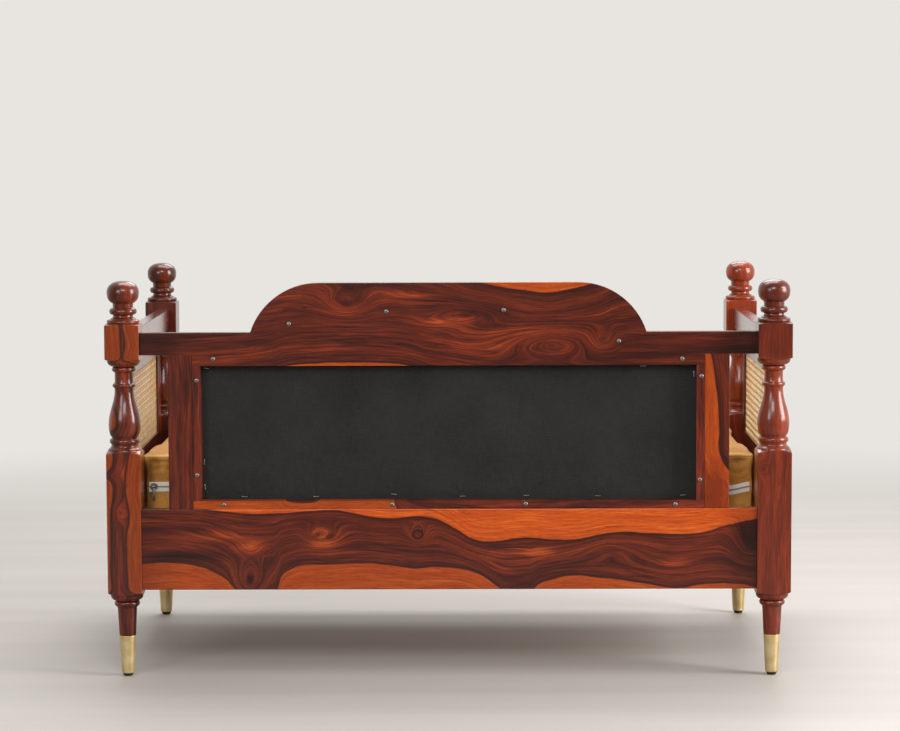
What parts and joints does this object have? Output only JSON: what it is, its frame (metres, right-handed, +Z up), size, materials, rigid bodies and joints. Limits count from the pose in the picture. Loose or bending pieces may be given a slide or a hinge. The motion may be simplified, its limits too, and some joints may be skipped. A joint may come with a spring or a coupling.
{
  "type": "cane sofa",
  "caption": "Two-seat wooden sofa with turned posts, cane arm panels, an arched back, brass ferrules and a loose box cushion.",
  "frame": {"origin": "on the floor, at the middle of the four posts", "axes": "+Z up, the sofa faces -Y, its back is at +Y, +X is to the right of someone who looks at its front"},
  "size_m": [1.32, 0.716, 0.771],
  "materials": {
    "sheesham": "glossy lacquer over brown and orange sheesham grain",
    "deck_wood": "plain planed wood, unlacquered",
    "plywood": "plain plywood",
    "brass": "satin brushed",
    "glide": "dark moulded",
    "cane": "natural woven cane",
    "upholstery": "smooth mustard velvet weave",
    "dust_cloth": "black lining cloth",
    "screw_steel": "zinc plated",
    "zip_tape": "cream woven tape",
    "zip_metal": "nickel plated"
  },
  "bodies": {
    "frame": {"rear_left_post": "sheesham", "rear_right_post": "sheesham", "front_left_post": "sheesham", "front_right_post": "sheesham", "rear_left_ferrule": "brass", "rear_right_ferrule": "brass", "front_left_ferrule": "brass", "front_right_ferrule": "brass", "rear_left_glide": "glide", "rear_right_glide": "glide", "front_left_glide": "glide", "front_right_glide": "glide", "rear_apron": "sheesham", "front_apron": "sheesham", "left_apron": "sheesham", "right_apron": "sheesham", "rear_cleat": "deck_wood", "front_cleat": "deck_wood", "rear_left_corner_block": "deck_wood", "rear_right_corner_block": "deck_wood", "front_left_corner_block": "deck_wood", "front_right_corner_block": "deck_wood", "back_rail": "sheesham", "back_left_stile": "sheesham", "back_right_stile": "sheesham", "left_beading": "sheesham", "right_beading": "sheesham", "bottom_beading": "sheesham", "back_panel": "plywood", "back_pad": "upholstery", "back_cloth": "dust_cloth", "back_screws": "screw_steel", "left_arm_rail": "sheesham", "right_arm_rail": "sheesham", "left_cane_front_stile": "sheesham", "left_cane_rear_stile": "sheesham", "left_cane_top_rail": "sheesham", "left_cane_bottom_rail": "sheesham", "right_cane_front_stile": "sheesham", "right_cane_rear_stile": "sheesham", "right_cane_top_rail": "sheesham", "right_cane_bottom_rail": "sheesham", "left_cane": "cane", "right_cane": "cane", "left_cane_beading": "sheesham", "right_cane_beading": "sheesham", "slat_1": "deck_wood", "slat_2": "deck_wood", "slat_3": "deck_wood", "slat_4": "deck_wood", "slat_5": "deck_wood", "slat_6": "deck_wood", "slat_7": "deck_wood", "slat_8": "deck_wood", "slat_9": "deck_wood"},
    "cushion": {"seat_cushion": "upholstery", "zip_tape": "zip_tape"},
    "slider": {"zip_slider": "zip_metal"},
    "pull": {"zip_pull": "zip_metal"}
  },
  "joints": [
    {"name": "cushion_lift", "type": "slide", "parent": "frame", "child": "cushion", "axis": [0, 0, 1], "range_m": [0, 0.4]},
    {"name": "zip_slide", "type": "slide", "parent": "cushion", "child": "slider", "axis": [1, 0, 0], "range_m": [-1.14, 0]},
    {"name": "pull_swing", "type": "hinge", "parent": "slider", "child": "pull", "pos_m": [0.5775, 0.283, 0.3658], "axis": [1, 0, 0], "range_deg": [0, 120]}
  ]
}
